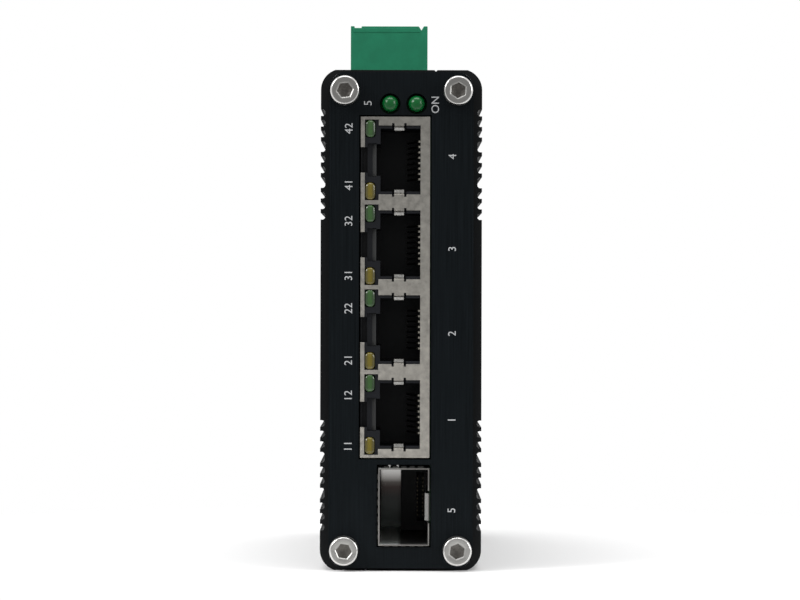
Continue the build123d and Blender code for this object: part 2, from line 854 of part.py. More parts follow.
with BuildPart() as status_light_holder:
    with BuildSketch(front_plane(holder_front + holder_depth)):
        holder_x, holder_width = span(holder_low_x, board_face_x)
        with Locations((holder_x, light_height)):
            Rectangle(holder_width, holder_height)
    extrude(amount=holder_depth)
    with BuildSketch(front_plane(light_back + light_gap)):
        with Locations(*light_spots):
            Circle(light_flange_radius + light_gap)
    extrude(amount=light_back + light_gap - holder_front, mode=Mode.SUBTRACT)
finish(status_light_holder, "status_light_holder")

with BuildPart() as status_lights:
    for light_x, height in light_spots:
        with BuildSketch(side_plane(light_x)):
            with BuildLine():
                dome_y = light_tip + light_radius
                flange_y = light_back - light_flange
                RadiusArc((light_tip, height), (dome_y, height + light_radius), light_radius)
                Polyline(
                    (dome_y, height + light_radius),
                    (flange_y, height + light_radius),
                    (flange_y, height + light_flange_radius),
                    (light_back, height + light_flange_radius),
                    (light_back, height),
                    (light_tip, height),
                )
            make_face()
        revolve(axis=Axis((light_x, 0, middle_z + height), (0, 1, 0)))
finish(status_lights, "status_lights")

# Power header: lies on the board, its mouth through the window in the top
cavity_side = header_half - header_wall
header_x, header_width = span(header_low_x, board_face_x)

with BuildPart() as power_header:
    with BuildSketch(level_plane(header_bottom)):
        with Locations((header_x, 0)):
            Rectangle(header_width, 2 * header_half)
            Rectangle(header_width - 2 * header_wall, 2 * cavity_side, mode=Mode.SUBTRACT)
    extrude(amount=header_depth)
    with BuildSketch(level_plane(header_bottom)):
        with Locations((header_x, 0)):
            Rectangle(header_width - header_wall, 2 * header_half - header_wall)
        with Locations(*[(pin_x, y) for y in pole_spots]):
            Rectangle(pin_size + 2 * pin_fit, pin_size + 2 * pin_fit, mode=Mode.SUBTRACT)
    extrude(amount=header_floor)
finish(power_header, "power_header")

with BuildPart() as header_pins:
    for y in pole_spots:
        with BuildSketch(front_plane(y + pin_size / 2)):
            with BuildLine():
                FilletPolyline(
                    (pin_x, header_bottom + header_floor + pin_rise),
                    (pin_x, pin_height),
                    (board_back_x + pin_reach, pin_height),
                    radius=pin_bend,
                )
            trace(line_width=pin_size)
        extrude(amount=pin_size)
finish(header_pins, "header_pins")

# Screw plug, seated on the header's mouth
plug_top = header_mouth + plug_rise
plug_low_x = plug_high_x - plug_across
plug_half = pole_count * pole_pitch / 2
key_high_x = plug_high_x - plug_post
key_low_x = key_high_x - plug_key_width
shoulder_x = plug_low_x + plug_post + plug_shoulder
clamp_top = plug_top - clamp_lid
clamp_middle = clamp_top - clamp_height / 2
pocket_low_x = wire_entry_x - clamp_rise / 2 - clamp_gap
screw_face_x = plug_low_x + clamp_head_recess
screw_seat_x = screw_face_x + clamp_head
screw_tip_x = pocket_low_x + clamp_gap + clamp_wall + clamp_grip

with BuildPart() as terminal_plug:
    with BuildSketch(front_plane(plug_half)):
        with BuildLine():
            Polyline(
                (plug_low_x, header_mouth),
                (plug_high_x, header_mouth),
                (plug_high_x, plug_top),
                (key_high_x, plug_top),
                ((key_high_x + key_low_x) / 2, plug_top - plug_key_depth),
                (key_low_x, plug_top),
                (shoulder_x, plug_top),
                (shoulder_x, plug_top - plug_shoulder_depth),
                (plug_low_x + plug_post, plug_top - plug_shoulder_depth),
                (plug_low_x + plug_post, plug_top),
                (plug_low_x, plug_top),
                close=True,
            )
        make_face()
    extrude(amount=2 * plug_half)
    # Both ends are set back a little along the top edge
    with BuildSketch(level_plane(plug_top - plug_end_step_height)):
        step_x, step_span = span(shoulder_x, key_low_x)
        with Locations((step_x, plug_half), (step_x, -plug_half)):
            Rectangle(step_span, 2 * plug_end_step)
    extrude(amount=plug_end_step_height, mode=Mode.SUBTRACT)
    with BuildSketch(level_plane(header_mouth - tongue_rise)):
        with Locations((header_x, 0)):
            Rectangle(header_width - 2 * (header_wall + plug_gap), 2 * (cavity_side - plug_gap))
    extrude(amount=tongue_rise)
    with BuildSketch(level_plane(header_mouth - tongue_rise)):
        with Locations(*[(pin_x, y) for y in pole_spots]):
            Rectangle(pin_entry, pin_entry)
    extrude(amount=tongue_rise, mode=Mode.SUBTRACT)
    with BuildSketch(level_plane(clamp_top - clamp_height)):
        with Locations(*[(wire_entry_x, y) for y in pole_spots]):
            Rectangle(clamp_rise + 2 * clamp_gap, clamp_width)
    extrude(amount=clamp_height, mode=Mode.SUBTRACT)
    with BuildSketch(level_plane(clamp_top)):
        with Locations(*[(wire_entry_x, y) for y in pole_spots]):
            Rectangle(wire_entry, wire_entry)
    extrude(amount=clamp_lid, mode=Mode.SUBTRACT)
    with BuildSketch(left_plane(screw_seat_x)):
        with Locations(*[(y, clamp_middle) for y in pole_spots]):
            Circle(clamp_screw_radius + clamp_gap)
    extrude(amount=screw_seat_x - plug_low_x, mode=Mode.SUBTRACT)
    with BuildSketch(left_plane(pocket_low_x)):
        with Locations(*[(y, clamp_middle) for y in pole_spots]):
            Circle(clamp_thread_radius + clamp_gap)
    extrude(amount=pocket_low_x - screw_seat_x, mode=Mode.SUBTRACT)
finish(terminal_plug, "terminal_plug")

with BuildPart() as wire_clamps:
    with BuildSketch(level_plane(clamp_top - clamp_height + clamp_gap)):
        for y in pole_spots:
            with Locations((wire_entry_x, y)):
                Rectangle(clamp_rise, clamp_width - 2 * clamp_gap)
                Rectangle(
                    clamp_rise - 2 * clamp_wall,
                    clamp_width - 2 * (clamp_gap + clamp_wall),
                    mode=Mode.SUBTRACT,
                )
    extrude(amount=clamp_height - 2 * clamp_gap)
    with BuildSketch(left_plane(wire_entry_x)):
        with Locations(*[(y, clamp_middle) for y in pole_spots]):
            Circle(clamp_thread_radius + thread_clearance)
    extrude(amount=clamp_rise, mode=Mode.SUBTRACT)
finish(wire_clamps, "wire_clamps")

with BuildPart() as clamp_screws:
    with BuildSketch(left_plane(screw_seat_x)):
        with Locations(*[(y, clamp_middle) for y in pole_spots]):
            Circle(clamp_screw_radius)
    extrude(amount=clamp_head)
    with BuildSketch(left_plane(screw_face_x)):
        with Locations(*[(y, clamp_middle) for y in pole_spots]):
            Rectangle(2 * clamp_screw_radius, clamp_slot)
    extrude(amount=-clamp_slot, mode=Mode.SUBTRACT)
    with BuildSketch(left_plane(screw_tip_x)):
        with Locations(*[(y, clamp_middle) for y in pole_spots]):
            Circle(clamp_thread_radius)
    extrude(amount=screw_tip_x - screw_seat_x)
finish(clamp_screws, "clamp_screws")

# Switch chip on the far side of the board, with a soft pad that leads its heat to the shell
with BuildPart() as switch_chip:
    with BuildSketch(side_plane(board_back_x)):
        with Locations((chip_y, chip_height)):
            Rectangle(chip_size, chip_size)
    extrude(amount=chip_thickness)
finish(switch_chip, "switch_chip")

with BuildPart() as thermal_pad:
    with BuildSketch(side_plane(board_back_x + chip_thickness)):
        with Locations((chip_y, chip_height)):
            RectangleRounded(pad_size, pad_size, pad_corner)
    extrude(amount=inner_x - board_back_x - chip_thickness)
finish(thermal_pad, "thermal_pad")

# Other parts, on the near side of the board
with BuildPart() as port_transformers:
    with BuildSketch(left_plane(board_face_x)):
        transformer_y = jack_back + transformer_gap + transformer_width / 2
        with Locations(*[(-transformer_y, height) for height in jack_heights]):
            Rectangle(transformer_width, transformer_length)
    extrude(amount=transformer_rise)
    chamfer(port_transformers.edges().filter_by(Axis.Z).group_by(Axis.X)[0], transformer_chamfer)
finish(port_transformers, "port_transformers")

with BuildPart() as poe_controller:
    with BuildSketch(left_plane(board_face_x)):
        with Locations((-controller_y, controller_height)):
            Rectangle(controller_size, controller_size)
    extrude(amount=controller_rise)
finish(poe_controller, "poe_controller")

with BuildPart() as power_coils:
    with BuildSketch(left_plane(board_face_x)):
        with Locations(*[(-coil_y, height) for height in coil_heights]):
            RectangleRounded(coil_size, coil_size, coil_corner)
    extrude(amount=coil_rise)
    with BuildSketch(left_plane(board_face_x - coil_rise)):
        with Locations(*[(-coil_y, height) for height in coil_heights]):
            Circle(coil_core_radius + coil_ring)
            Circle(coil_core_radius, mode=Mode.SUBTRACT)
    extrude(amount=-coil_ring_depth, mode=Mode.SUBTRACT)
finish(power_coils, "power_coils")

with BuildPart() as input_capacitors:
    for height in can_heights:
        with BuildSketch(level_plane(height)):
            with BuildLine():
                can_side = can_y + can_radius
                can_end_x = board_face_x - can_rise
                groove_x = board_face_x - can_groove_rise
                Polyline(
                    (board_face_x, can_y),
                    (board_face_x, can_side),
                    (groove_x + can_groove, can_side),
                    (groove_x, can_side - can_groove),
                    (groove_x - can_groove, can_side),
                    (can_end_x + can_groove, can_side),
                    (can_end_x, can_side - can_groove),
                    (can_end_x, can_y),
                    close=True,
                )
            make_face()
        revolve(axis=Axis((board_face_x, can_y, middle_z + height), (1, 0, 0)))
finish(input_capacitors, "input_capacitors")

with BuildPart() as crystal:
    with BuildSketch(left_plane(board_face_x)):
        with Locations((-crystal_y, crystal_height)):
            SlotOverall(crystal_length, crystal_width, rotation=90)
    extrude(amount=crystal_rise)
finish(crystal, "crystal")
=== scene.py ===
import json
import math

import bmesh
import bpy
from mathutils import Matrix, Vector


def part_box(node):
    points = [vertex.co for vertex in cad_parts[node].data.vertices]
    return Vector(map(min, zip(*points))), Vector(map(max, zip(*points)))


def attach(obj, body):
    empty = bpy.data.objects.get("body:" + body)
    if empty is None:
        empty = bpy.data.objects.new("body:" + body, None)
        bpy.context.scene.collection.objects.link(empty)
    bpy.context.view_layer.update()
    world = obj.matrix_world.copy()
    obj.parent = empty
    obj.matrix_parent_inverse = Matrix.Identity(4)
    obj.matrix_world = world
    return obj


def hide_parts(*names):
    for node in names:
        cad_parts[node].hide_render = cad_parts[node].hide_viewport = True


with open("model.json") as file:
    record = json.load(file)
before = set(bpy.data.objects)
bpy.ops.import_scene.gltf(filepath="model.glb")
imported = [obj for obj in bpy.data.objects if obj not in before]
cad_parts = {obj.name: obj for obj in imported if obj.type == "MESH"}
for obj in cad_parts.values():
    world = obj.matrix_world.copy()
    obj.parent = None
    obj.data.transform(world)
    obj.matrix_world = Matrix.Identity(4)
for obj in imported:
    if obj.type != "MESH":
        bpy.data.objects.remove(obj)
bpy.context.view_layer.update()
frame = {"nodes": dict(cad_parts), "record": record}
nodes = frame["nodes"]
slots = {row["node"]: row["material_slot"] for row in frame["record"]["subparts"]}
scene = bpy.context.scene

# Places read from the frame, in metres. Sizes of the object written below are in millimetres and
# go through MM; lamps and floor are in metres.

MM = 0.001
front_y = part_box("front_panel")[0].y
rear_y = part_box("rear_panel")[1].y
tube_low, tube_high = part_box("left_shell")
middle_z = (tube_low.z + tube_high.z) / 2


def new_object(name, mesh, material):
    """A new object for a mesh, with its material, in the scene."""
    mesh.materials.clear()
    mesh.materials.append(material)
    piece = bpy.data.objects.new(name, mesh)
    scene.collection.objects.link(piece)
    return piece


def evaluated_mesh(name, data, prepare=None):
    """The mesh that an object of some data gives, after a function has prepared the object."""
    source = bpy.data.objects.new(name + "_source", data)
    scene.collection.objects.link(source)
    if prepare:
        prepare(source)
    mesh = bpy.data.meshes.new_from_object(source.evaluated_get(bpy.context.evaluated_depsgraph_get()))
    bpy.data.objects.remove(source)
    return mesh


def smooth(mesh, angle=35):
    """Smooth shading, with sharp edges kept where the surface turns by more than the angle."""
    for polygon in mesh.polygons:
        polygon.use_smooth = True
    mesh.set_sharp_from_angle(angle=math.radians(angle))


def mesh_from(bm, name):
    """Close a bmesh into a mesh."""
    bmesh.ops.recalc_face_normals(bm, faces=bm.faces)
    mesh = bpy.data.meshes.new(name)
    bm.to_mesh(mesh)
    bm.free()
    return mesh


def stand_for(piece, slot, *replaced):
    """A finished piece rides with the object and stands for its CAD nodes; its slot is not used."""
    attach(piece, "root")
    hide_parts(*replaced)
    return piece


def trim(piece):
    """A small piece that only the scene has rides with the object."""
    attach(piece, "root")
    return piece


# Materials


def map_range(tree, value, source, target=(0.0, 1.0), eased=False):
    """A node value carried from one range to another and held at the ends."""
    node = tree.nodes.new("ShaderNodeMapRange")
    if eased:
        node.interpolation_type = "SMOOTHSTEP"
    for socket, number in zip(("From Min", "From Max", "To Min", "To Max"), (*source, *target)):
        node.inputs[socket].default_value = number
    tree.links.new(value, node.inputs["Value"])
    return node.outputs["Result"]


class Finish:
    """A principled material with helpers that hang noise and places on its inputs."""

    def __init__(self, name, color, roughness=0.5, **values):
        self.material = bpy.data.materials.new(name)
        self.material.use_nodes = True
        self.tree = self.material.node_tree
        self.shader = self.tree.nodes["Principled BSDF"]
        self.color = color
        self.roughness = roughness
        self.shader.inputs["Base Color"].default_value = (*color, 1)
        self.shader.inputs["Roughness"].default_value = roughness
        for key, value in values.items():
            self.shader.inputs[key.replace("_", " ")].default_value = value
        self.ramp = None
        self.normal = None

    def noise(self, scale, detail=4, roughness=0.6):
        """Noise in the object's own coordinates; scale is cycles per metre along X, Y and Z."""
        place = self.tree.nodes.new("ShaderNodeTexCoord")
        stretch = self.tree.nodes.new("ShaderNodeMapping")
        stretch.inputs["Scale"].default_value = scale
        texture = self.tree.nodes.new("ShaderNodeTexNoise")
        texture.inputs["Scale"].default_value = 1
        texture.inputs["Detail"].default_value = detail
        texture.inputs["Roughness"].default_value = roughness
        self.tree.links.new(place.outputs["Object"], stretch.inputs["Vector"])
        self.tree.links.new(stretch.outputs["Vector"], texture.inputs["Vector"])
        return texture.outputs["Fac"]

    def along(self, axis, low, high):
        """Runs from 0 to 1 between two places on an axis of the frame, in millimetres."""
        place = self.tree.nodes.new("ShaderNodeTexCoord")
        axes = self.tree.nodes.new("ShaderNodeSeparateXYZ")
        self.tree.links.new(place.outputs["Object"], axes.inputs["Vector"])
        return map_range(self.tree, axes.outputs[axis], (low * MM, high * MM), eased=True)

    def tint(self, fac, other, low=0.35, high=0.65):
        """Colour runs from the base colour to another one along a value."""
        ramp = self.tree.nodes.new("ShaderNodeValToRGB")
        self.ramp = ramp.color_ramp
        first, last = self.ramp.elements
        first.position, last.position = low, high
        first.color, last.color = (*self.color, 1), (*other, 1)
        self.tree.links.new(fac, ramp.inputs["Fac"])
        self.tree.links.new(ramp.outputs["Color"], self.shader.inputs["Base Color"])
        return self

    def bands(self, *stops):
        """More colours between the two ends of the tint, each as a place from 0 to 1 and a colour."""
        for spot, color in stops:
            self.ramp.elements.new(spot).color = (*color, 1)
        return self

    def mottle(self, fac, darkest, low=0.3, high=0.7):
        """The colour before it is darkened in blotches, down to a share of itself."""
        scaled = self.tree.nodes.new("ShaderNodeVectorMath")
        scaled.operation = "SCALE"
        before = self.shader.inputs["Base Color"].links[0].from_socket
        share = map_range(self.tree, fac, (low, high), (darkest, 1.0))
        self.tree.links.new(before, scaled.inputs[0])
        self.tree.links.new(share, scaled.inputs["Scale"])
        self.tree.links.new(scaled.outputs["Vector"], self.shader.inputs["Base Color"])
        return self

    def gloss(self, fac, other, low=0.35, high=0.65):
        """Roughness runs from its base value to another one along a value."""
        roughness = map_range(self.tree, fac, (low, high), (self.roughness, other))
        self.tree.links.new(roughness, self.shader.inputs["Roughness"])
        return self

    def bump(self, fac, depth):
        """Relief of a depth in millimetres along the noise, on top of any relief before it."""
        bump = self.tree.nodes.new("ShaderNodeBump")
        bump.inputs["Strength"].default_value = 1
        bump.inputs["Distance"].default_value = depth * MM
        self.tree.links.new(fac, bump.inputs["Height"])
        if self.normal:
            self.tree.links.new(self.normal, bump.inputs["Normal"])
        self.normal = bump.outputs["Normal"]
        self.tree.links.new(self.normal, self.shader.inputs["Normal"])
        return self


# Where painted light and shade change along an axis of the frame, in millimetres

shield_painted_light = ("Z", 18, 90)
screw_painted_shade = ("Z", 20, 75)
contact_painted_shade = ("Y", -47.7, -46.9)
cage_painted_light = ("Z", 5.0, 17.2)
floor_shade_edge = ("X", -0.7, 0.2)
lens_painted_shade = ("X", -6.82, -4.92)


def extruded_alloy():
    """Black anodised extrusion, with fine lines along its length."""
    finish = Finish("shell_black", (0.0072, 0.0079, 0.0086), 0.5, Specular_IOR_Level=0.12)
    lines = finish.noise((2600, 40, 2600), detail=3)
    finish.gloss(lines, 0.65).bump(lines, 0.01)
    return finish.bump(finish.noise((9000, 9000, 9000), detail=2), 0.004).material


def brushed_panel():
    """Black anodised plate, brushed from top to bottom."""
    finish = Finish("panel_black", (0.0016, 0.0031, 0.0042), 0.36, Specular_IOR_Level=0.1)
    streaks = finish.noise((5200, 5200, 55), detail=6, roughness=0.7)
    finish.tint(streaks, (0.0062, 0.0092, 0.0115), 0.4, 0.72)
    return finish.gloss(streaks, 0.6, 0.3, 0.7).bump(streaks, 0.012).material


def metal(name, color, roughness, scale=(3000, 3000, 3000), relief=0.004, spread=0.12, darker=0.82):
    """Metal whose grain runs down to a share of its colour and up by a spread of roughness."""
    finish = Finish(name, color, roughness, Metallic=1.0)
    grain = finish.noise(scale, detail=4)
    other = tuple(value * darker for value in color)
    return finish.tint(grain, other).gloss(grain, roughness + spread).bump(grain, relief).material


def nickel_sheet():
    """Matt nickel over tin plate with faint blotches, and painted light that makes it lighter towards
    the bottom.
    """
    finish = Finish("jack_nickel", (0.555, 0.53, 0.483), 0.46, Metallic=1.0)
    blotches = finish.noise((900, 900, 900), detail=6, roughness=0.75)
    # Painted light: the nickel darkens from the bottom of the shield towards its top.
    finish.tint(finish.along(*shield_painted_light), (0.37, 0.357, 0.327), 0.0, 1.0)
    finish.gloss(blotches, 0.66).mottle(blotches, 0.62)
    return finish.bump(finish.noise((4000, 4000, 4000), detail=3), 0.004).material


def screw_metal():
    """Stainless heads, with painted shade that makes the upper screws darker."""
    finish = Finish("screw_steel", (0.4, 0.395, 0.38), 0.34, Metallic=1.0)
    # Painted shade: the steel darkens towards the upper screws.
    finish.tint(finish.along(*screw_painted_shade), (0.345, 0.341, 0.328), 0.0, 1.0)
    return finish.bump(finish.noise((3000, 3000, 3000)), 0.003).material


def contact_metal():
    """Contact springs, lighter where they bend at the mouth and darker behind it, as painted shade
    deeper in the jack.
    """
    finish = Finish("contact_gold", (0.36, 0.34, 0.295), 0.3, Metallic=1.0)
    # Painted shade: the springs darken deeper inside the jack.
    finish.tint(finish.along(*contact_painted_shade), (0.075, 0.068, 0.052), 0.0, 1.0)
    return finish.bump(finish.noise((3000, 3000, 3000)), 0.003).material


def cage_back_painted_light():
    """Tin with a painted reflection at the top of the back wall, a warm painted band under it, then
    painted shade down to the floor.
    """
    finish = Finish("cage_back_painted_light", (0.07, 0.077, 0.075), 0.2, Metallic=1.0)
    rise = finish.along(*cage_painted_light)
    # Painted reflection and painted shade: colour bands up the back wall of the cage.
    finish.tint(rise, (1.0, 0.99, 0.96), 0.0, 1.0).gloss(rise, 0.06, 0.0, 1.0)
    finish.bands(
        (0.05, (0.042, 0.046, 0.044)),
        (0.5, (0.037, 0.038, 0.037)),
        (0.74, (0.064, 0.05, 0.047)),
        (0.84, (0.13, 0.118, 0.11)),
        (0.93, (0.56, 0.54, 0.52)),
    )
    return finish.bump(finish.noise((500, 500, 500)), 0.004).material


def cage_floor_painted_light():
    """The cage's floor, with painted light on the left and painted shade on the right, where the socket
    is.
    """
    finish = Finish("cage_floor_painted_light", (0.88, 0.94, 0.93), 0.5, Metallic=1.0)
    # Painted light and shade: light on the left, dark towards the socket.
    finish.tint(finish.along(*floor_shade_edge), (0.13, 0.13, 0.13), 0.0, 1.0)
    return finish.bump(finish.noise((500, 500, 500)), 0.004).material


def lens_plastic(name, edge, middle):
    """Clear coloured plastic, with painted shade at its two sides and painted light down the middle."""
    finish = Finish(name, edge, 0.14, Specular_IOR_Level=0.5, Coat_Weight=0.4)
    # Painted shade at the sides of each lens and painted light in its middle.
    finish.tint(finish.along(*lens_painted_shade), edge, 0.0, 1.0).bands((0.32, middle), (0.68, middle))
    return finish.bump(finish.noise((2200, 2200, 2200), detail=2), 0.02).material


def plastic(name, color, roughness, relief=0.01, specular=0.5, **values):
    """Moulded plastic with faint clouds in its colour and a fine grain."""
    finish = Finish(name, color, roughness, Specular_IOR_Level=specular, **values)
    grain = finish.noise((5000, 5000, 5000), detail=2)
    clouds = finish.noise((300, 300, 300), detail=3)
    other = tuple(value * 0.85 for value in color)
    return finish.tint(clouds, other).gloss(grain, roughness + 0.1).bump(grain, relief).material


materials = {
    "shell_black": extruded_alloy(),
    "panel_black": brushed_panel(),
    "clip_alloy": metal("clip_alloy", (0.05, 0.05, 0.055), 0.45),
    "screw_steel": screw_metal(),
    "spring_steel": metal("spring_steel", (0.55, 0.55, 0.53), 0.28),
    "zinc_steel": metal("zinc_steel", (0.55, 0.54, 0.52), 0.32),
    "jack_nickel": nickel_sheet(),
    "cage_nickel": metal("cage_nickel", (0.5, 0.485, 0.46), 0.24, (60, 60, 160), 0.006, 0.16, 0.45),
    "contact_gold": contact_metal(),
    "tin_pin": metal("tin_pin", (0.6, 0.59, 0.56), 0.35),
    "board_green": plastic("board_green", (0.01, 0.06, 0.025), 0.4),
    "insulator_black": plastic("insulator_black", (0.0046, 0.0056, 0.0085), 0.42, specular=0.3),
    "green_lens": lens_plastic("green_lens", (0.012, 0.032, 0.008), (0.03, 0.092, 0.018)),
    "yellow_lens": lens_plastic("yellow_lens", (0.055, 0.046, 0.006), (0.145, 0.112, 0.004)),
    "status_green": plastic("status_green", (0.001, 0.1, 0.019), 0.12, 0.002, 0.25, Coat_Weight=0.25),
    "terminal_green": plastic("terminal_green", (0.018, 0.222, 0.116), 0.5, 0.012, 0.2),
    "chip_black": plastic("chip_black", (0.02, 0.02, 0.02), 0.55),
    "pad_grey": plastic("pad_grey", (0.3, 0.33, 0.36), 0.7),
    "ferrite_grey": plastic("ferrite_grey", (0.08, 0.08, 0.08), 0.6),
    "can_sleeve": metal("can_sleeve", (0.6, 0.6, 0.6), 0.35),
}

for name, node in nodes.items():
    node.data.materials.clear()
    node.data.materials.append(materials[slots[name]])


# Pieces that keep their CAD form and get rounded edges

edge_radius = {
    "left_shell": 0.24,
    "right_shell": 0.24,
    "front_panel": 0.1,
    "rear_panel": 0.14,
    "rail_clip": 0.12,
    "jack_shield": 0.05,
    "jack_body": 0.06,
    "sfp_cage": 0.09,
    "sfp_socket": 0.08,
    "power_header": 0.1,
    "terminal_plug": 0.14,
}
collar_radius = 0.03
shell_segments = 4
same_face_angle = 0.5
corner_angle = 35


def keep_flats(source):
    """Normals that follow the large faces, so that these stay flat beside their rounded edges."""
    source.modifiers.new("normals", "WEIGHTED_NORMAL").keep_sharp = True


def rounded_copy(node, radius, segments=2, material=None):
    """A copy of a CAD node with its edges rounded, which stands for the node."""
    name = node + "_rounded"
    bm = bmesh.new()
    bm.from_mesh(nodes[node].data)
    bmesh.ops.remove_doubles(bm, verts=bm.verts, dist=1e-6)
    flat = math.radians(same_face_angle)
    bmesh.ops.dissolve_limit(bm, angle_limit=flat, verts=bm.verts, edges=bm.edges)
    turn = math.radians(corner_angle)
    corners = [e for e in bm.edges if len(e.link_faces) == 2 and e.calc_face_angle(0) > turn]
    bmesh.ops.bevel(
        bm,
        geom=corners,
        offset=radius * MM,
        offset_type="OFFSET",
        segments=segments,
        profile=0.5,
        affect="EDGES",
        clamp_overlap=True,
    )
    mesh = mesh_from(bm, name)
    smooth(mesh)
    mesh = evaluated_mesh(node, mesh, keep_flats)
    return stand_for(new_object(name, mesh, material or materials[slots[node]]), slots[node], node)


for node, radius in edge_radius.items():
    rounded_copy(node, radius, shell_segments if node.endswith("_shell") else 2)
# Painted shade: the spring collar gets a much darker steel than the cage, as it sits in shadow.
collar_shaded_steel = metal("collar_shaded_steel", (0.1, 0.098, 0.093), 0.5)
rounded_copy("sfp_spring_collar", collar_radius, material=collar_shaded_steel)


# Faces with a finish of their own, picked by their normal and by their place in millimetres from
# the middle of the front. Most of these finishes paint light or shade into the colour.


def upper_tab(normal, spot):
    """The sloping face of a sprung tab above an opening of the jacks."""
    return -0.9 < normal.y < -0.3 and normal.z < -0.3 and spot.y > 0.25


def lower_tab(normal, spot):
    """The sloping face of a sprung tab below an opening of the jacks."""
    return -0.9 < normal.y < -0.3 and normal.z > 0.3 and spot.y > 0.25


def panel_corner(normal, spot):
    """The rounded corners of the front plate, and what its screws hide of the walls of their holes."""
    return abs(normal.x) > 0.2 and abs(normal.z) > 0.2 and abs(spot.x) > 10


def cage_back(normal, spot):
    """The wall at the back of the cage."""
    return normal.y < -0.9 and spot.y > 20


def cage_bottom(normal, spot):
    """The floor inside the cage."""
    return normal.z > 0.9 and spot.z > -44.0


def cage_latch(normal, spot):
    """The sloping side of the cage's latch spring."""
    return -0.97 < normal.x < -0.1 and spot.x > 4.2 and spot.y < 8


def cage_mouth(normal, spot):
    """The rounded front edge of the cage."""
    return -0.95 < normal.y < -0.1 and spot.y < -0.4


def finish_faces(piece, material, wanted):
    """The faces that a rule of normal and place picks get a finish of their own."""
    mesh = bpy.data.objects[piece].data
    mesh.materials.append(material)
    for polygon in mesh.polygons:
        spot = polygon.center - Vector((0, front_y, middle_z))
        if wanted(polygon.normal, spot / MM):
            polygon.material_index = len(mesh.materials) - 1


for piece, material, wanted in (
    # Painted shade: darker copies of the nickel on the sloping faces of the sprung tabs, darkest below
    # the openings.
    ("jack_shield_rounded", metal("upper_tab_shaded_nickel", (0.39, 0.385, 0.37), 0.3), upper_tab),
    ("jack_shield_rounded", metal("lower_tab_shaded_nickel", (0.2, 0.197, 0.188), 0.4), lower_tab),
    # Painted highlight: bright metal on the plate's rounded corners, where they catch the light.
    ("front_panel_rounded", metal("panel_corner_glint", (0.42, 0.42, 0.43), 0.4), panel_corner),
    ("sfp_cage_rounded", cage_back_painted_light(), cage_back),
    ("sfp_cage_rounded", cage_floor_painted_light(), cage_bottom),
    ("sfp_cage_rounded", metal("latch_nickel", (0.56, 0.555, 0.54), 0.6), cage_latch),
    # Painted shade: the cage's rounded front edge is darkened so that only a thin line of it shows
    # bright.
    ("sfp_cage_rounded", metal("cage_edge_shaded", (0.13, 0.126, 0.12), 0.4), cage_mouth),
):
    finish_faces(piece, material, wanted)


# Small blocks: the ends of the two fingers over the cage, which catch the light and are near-white
# as a painted highlight, and a thin lip along the plug's top front edge


def small_block(name, size, middle, material, rounding=0.0, segments=2):
    """A block of a size in millimetres round a middle in metres, with rounded edges where asked."""
    bm = bmesh.new()
    bmesh.ops.create_cube(bm, size=1.0)
    bmesh.ops.scale(bm, vec=Vector(size) * MM, verts=bm.verts)
    if rounding:
        bmesh.ops.bevel(
            bm, geom=bm.edges, offset=rounding * MM, segments=segments, profile=0.5, affect="EDGES"
        )
    bmesh.ops.translate(bm, vec=middle, verts=bm.verts)
    return trim(new_object(name, mesh_from(bm, name), material))


tip_size = (0.4, 0.16, 0.56)
tip_depth = 0.4
tip_rise = 0.33
# Painted highlight: near-white metal makes the finger ends show as glints.
tip_painted_glint = metal("tip_painted_glint", (0.96, 0.95, 0.93), 0.35, relief=0.001)
cage_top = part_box("sfp_cage")[1].z
for number, x in enumerate((-2.12, -0.57), start=1):
    middle = Vector((x * MM, front_y + tip_depth * MM, cage_top + tip_rise * MM))
    small_block(f"finger_tip_{number}", tip_size, middle, tip_painted_glint, 0.06, 3)

lip_size = (13.6, 0.3, 0.75)
plug_low, plug_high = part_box("terminal_plug")
lip_middle = Vector((plug_low.x, plug_low.y, plug_high.z)) + Vector((7.2, 0.07, -0.85)) * MM
small_block("plug_lip", lip_size, lip_middle, materials["terminal_green"], 0.05)


# Lenses beside the latches, a block of black insulator in each notch of the shield that stands in
# for the shade on the shield's cut edge there, and the sloping edge of the ledge that a plug's latch
# rides over

jack_pitch = 16
lens_width = 1.9
lens_height = 3.2
lens_corner = 0.82
lens_rise = 0.5
lens_depth = 3.9
lens_from_middle = 5.9
notch_shade_size = (0.3, 0.5, 4.76)
notch_depth = 2.2
slope_reach = 3.0
slope_corners = ((-5.45, 1.31), (-4.72, 0.9), (-4.72, 1.31))


def lens(name, middle, material, slot, node):
    """A domed lens with rounded corners; middle is the middle of its flat front."""
    rows = [(0.0, lens_depth), (0.0, 0.0)]
    inset_most = lens_width / 2 - 0.02
    for degrees in range(9, 91, 9):
        turn = math.radians(degrees)
        rows.append((inset_most * (1 - math.cos(turn)), -lens_rise * math.sin(turn)))
    bm = bmesh.new()
    loops = []
    for inset, depth in rows:
        round_by = max(lens_corner - inset, 0.015)
        loop = []
        for quarter, (side_x, side_z) in enumerate(((1, 1), (-1, 1), (-1, -1), (1, -1))):
            for part in range(9):
                turn = math.radians(90 * quarter + 90 * part / 8)
                x = side_x * (lens_width / 2 - inset - round_by) + round_by * math.cos(turn)
                z = side_z * (lens_height / 2 - inset - round_by) + round_by * math.sin(turn)
                loop.append(bm.verts.new(middle + Vector((x, depth, z)) * MM))
        loops.append(loop)
    for low, high in zip(loops, loops[1:]):
        for i, vertex in enumerate(low):
            j = (i + 1) % len(low)
            bm.faces.new((vertex, low[j], high[j], high[i]))
    bm.faces.new(loops[0])
    bm.faces.new(loops[-1])
    mesh = mesh_from(bm, name)
    smooth(mesh, 50)
    return stand_for(new_object(name, mesh, material), slot, node)


